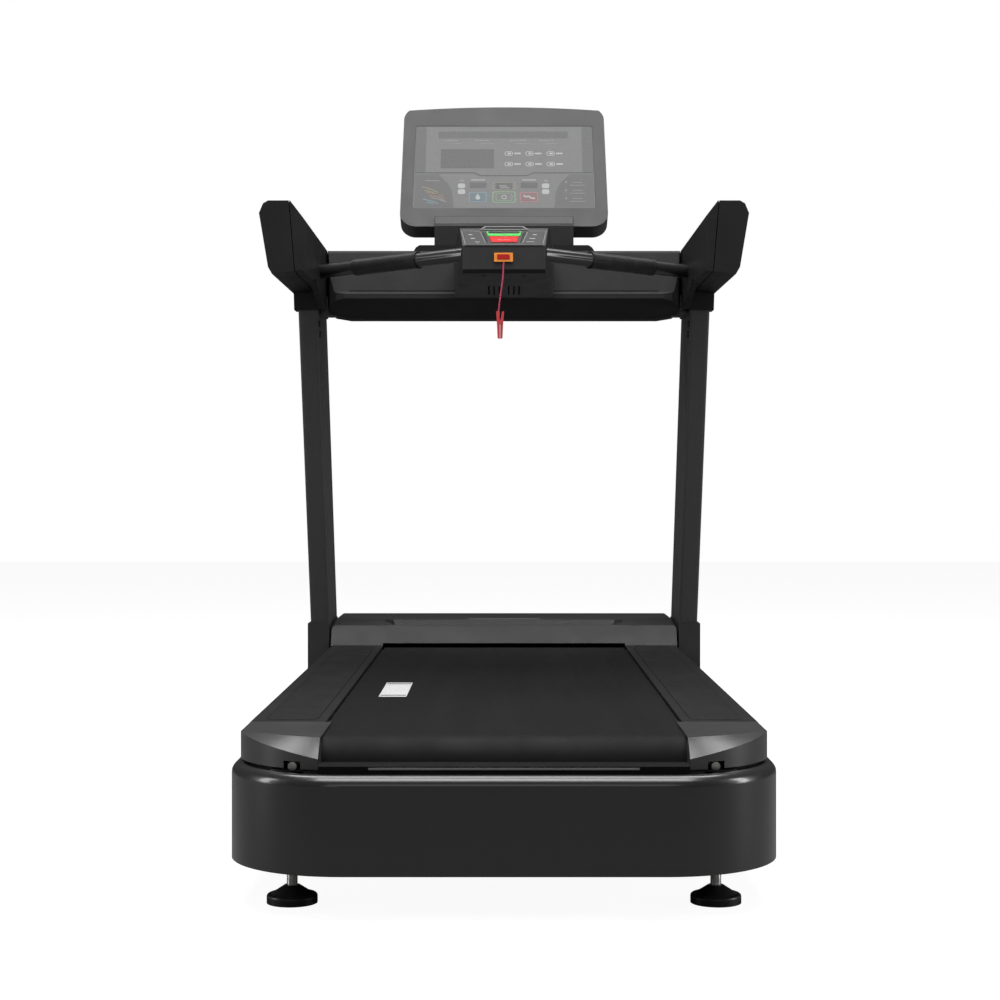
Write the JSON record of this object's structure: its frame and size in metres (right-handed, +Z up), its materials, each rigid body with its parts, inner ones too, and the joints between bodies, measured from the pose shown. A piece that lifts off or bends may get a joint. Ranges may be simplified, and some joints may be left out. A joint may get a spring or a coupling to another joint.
{
  "type": "motorised treadmill",
  "caption": "Commercial motorised treadmill: inclining flat deck on a skirted base, leaning uprights, winged dashboard, tilted display, safety key on a cord.",
  "frame": {"origin": "on the floor, under the middle of the bounding box", "axes": "+X to the user's right, +Y forward along the deck, +Z up"},
  "size_m": [0.98, 2.05, 1.5186],
  "materials": {
    "frame_paint": "satin powder coat",
    "skirt_paint": "semi-gloss moulding",
    "shell_plastic": "fine-textured moulding",
    "display_plastic": "grey satin moulding",
    "screen_glass": "printed film behind a smoked lens",
    "panel_film": "printed key film",
    "start_green": "moulded key",
    "stop_red": "moulded key",
    "key_orange": "moulded key cap",
    "cord_red": "braided cord",
    "clip_red": "moulded clip",
    "board": "solder mask",
    "handlebar_steel": "satin black",
    "grip_rubber": "moulded sleeve",
    "belt_rubber": "fine diamond texture",
    "rail_plastic": "textured foot rail",
    "cap_gloss": "semi-gloss end cap",
    "hood_plastic": "textured hood",
    "deck_wood": "waxed phenolic board",
    "cushion_rubber": "moulded rubber",
    "roller_steel": "turned steel",
    "bolt_zinc": "zinc plate",
    "bolt_black": "black oxide",
    "motor_case": "painted case",
    "controller_alloy": "extruded heat sink",
    "inlet_plastic": "moulded socket",
    "foot_black": "black coated foot"
  },
  "bodies": {
    "base": {"base_frame": "frame_paint", "skirt_rear": "skirt_paint", "skirt_front": "skirt_paint", "power_inlet": "inlet_plastic", "lift_motor": "motor_case", "hinge_pins": "roller_steel", "frame_bolts": "bolt_black", "crossbar": "frame_paint", "dashboard_cover": "shell_plastic", "dashboard_back": "shell_plastic", "console_tray": "shell_plastic", "pod_housing": "shell_plastic", "pod_panel": "panel_film", "display_neck": "shell_plastic", "display_back": "display_plastic", "display_bezel": "display_plastic", "display_screen": "screen_glass", "control_board": "board", "upright_left": "frame_paint", "upright_right": "frame_paint", "foot_cover_left": "shell_plastic", "foot_cover_right": "shell_plastic", "wing_outer_left": "shell_plastic", "wing_outer_right": "shell_plastic", "wing_inner_left": "shell_plastic", "wing_inner_right": "shell_plastic", "handlebar_left": "handlebar_steel", "handlebar_right": "handlebar_steel", "grip_left": "grip_rubber", "grip_right": "grip_rubber"},
    "deck": {"deck_frame": "frame_paint", "running_board": "deck_wood", "deck_cushions": "cushion_rubber", "running_belt": "belt_rubber", "side_rail_left": "rail_plastic", "side_rail_right": "rail_plastic", "end_cap_left": "cap_gloss", "end_cap_right": "cap_gloss", "rear_bumper": "rail_plastic", "motor_hood": "hood_plastic", "drive_motor": "motor_case", "motor_controller": "controller_alloy", "roller_axles": "roller_steel", "tension_bolts": "bolt_zinc", "drive_belt": "belt_rubber"},
    "front_roller": {"front_roller": "roller_steel"},
    "rear_roller": {"rear_roller": "roller_steel"},
    "motor_flywheel": {"motor_flywheel": "roller_steel"},
    "lift_frame": {"lift_frame": "frame_paint"},
    "lift_screw": {"lift_screw": "roller_steel"},
    "start_button": {"start_button": "start_green"},
    "stop_button": {"stop_button": "stop_red"},
    "safety_key": {"safety_key": "key_orange", "lanyard": "cord_red", "lanyard_clip": "clip_red"},
    "clip_jaw": {"clip_jaw": "clip_red"},
    "foot_rear_left": {"foot_rear_left": "foot_black"},
    "foot_rear_right": {"foot_rear_right": "foot_black"},
    "foot_front_left": {"foot_front_left": "foot_black"},
    "foot_front_right": {"foot_front_right": "foot_black"}
  },
  "joints": [
    {"name": "incline", "type": "hinge", "parent": "base", "child": "deck", "pos_m": [0, -0.985, 0.17], "axis": [1, 0, 0], "range_deg": [0, 6.84]},
    {"name": "lift_pivot", "type": "hinge", "parent": "base", "child": "lift_frame", "pos_m": [0, 0.1, 0.08], "axis": [1, 0, 0], "range_deg": [0, 20.9]},
    {"name": "lift_screw_slide", "type": "slide", "parent": "base", "child": "lift_screw", "axis": [0, -1, 0], "range_m": [0, 0.02]},
    {"name": "front_roller_spin", "type": "hinge", "parent": "deck", "child": "front_roller", "pos_m": [0, 0.7, 0.216], "axis": [1, 0, 0], "continuous": true},
    {"name": "rear_roller_spin", "type": "hinge", "parent": "deck", "child": "rear_roller", "pos_m": [0, -0.887, 0.216], "axis": [1, 0, 0], "continuous": true},
    {"name": "motor_spin", "type": "hinge", "parent": "deck", "child": "motor_flywheel", "pos_m": [0, 0.852, 0.213], "axis": [1, 0, 0], "continuous": true},
    {"name": "start_press", "type": "slide", "parent": "base", "child": "start_button", "axis": [0, 0.4629, -0.8864], "range_m": [0, 0.002], "stiffness_N_per_m": 500, "springref_m": -0.001},
    {"name": "stop_press", "type": "slide", "parent": "base", "child": "stop_button", "axis": [0, 0.4629, -0.8864], "range_m": [0, 0.002], "stiffness_N_per_m": 500, "springref_m": -0.001},
    {"name": "key_pull", "type": "slide", "parent": "base", "child": "safety_key", "axis": [0, -1, 0], "range_m": [0, 0.03]},
    {"name": "clip_open", "type": "hinge", "parent": "safety_key", "child": "clip_jaw", "pos_m": [-0.005, 0.055, 0.97], "axis": [0, -1, 0], "range_deg": [0, 12], "stiffness_Nm_per_rad": 0.05, "springref_deg": -11.46},
    {"name": "level_rear_left", "type": "slide", "parent": "base", "child": "foot_rear_left", "axis": [0, 0, -1], "range_m": [0, 0.02]},
    {"name": "level_front_left", "type": "slide", "parent": "base", "child": "foot_front_left", "axis": [0, 0, -1], "range_m": [0, 0.02]},
    {"name": "level_rear_right", "type": "slide", "parent": "base", "child": "foot_rear_right", "axis": [0, 0, -1], "range_m": [0, 0.02]},
    {"name": "level_front_right", "type": "slide", "parent": "base", "child": "foot_front_right", "axis": [0, 0, -1], "range_m": [0, 0.02]}
  ],
  "couplings": [
    {"joint": "lift_pivot", "follows": "incline", "ratio": 3.04},
    {"joint": "lift_screw_slide", "follows": "incline", "m_per_rad": 0.1659},
    {"joint": "rear_roller_spin", "follows": "front_roller_spin", "ratio": 1},
    {"joint": "motor_spin", "follows": "front_roller_spin", "ratio": 2.25}
  ]
}
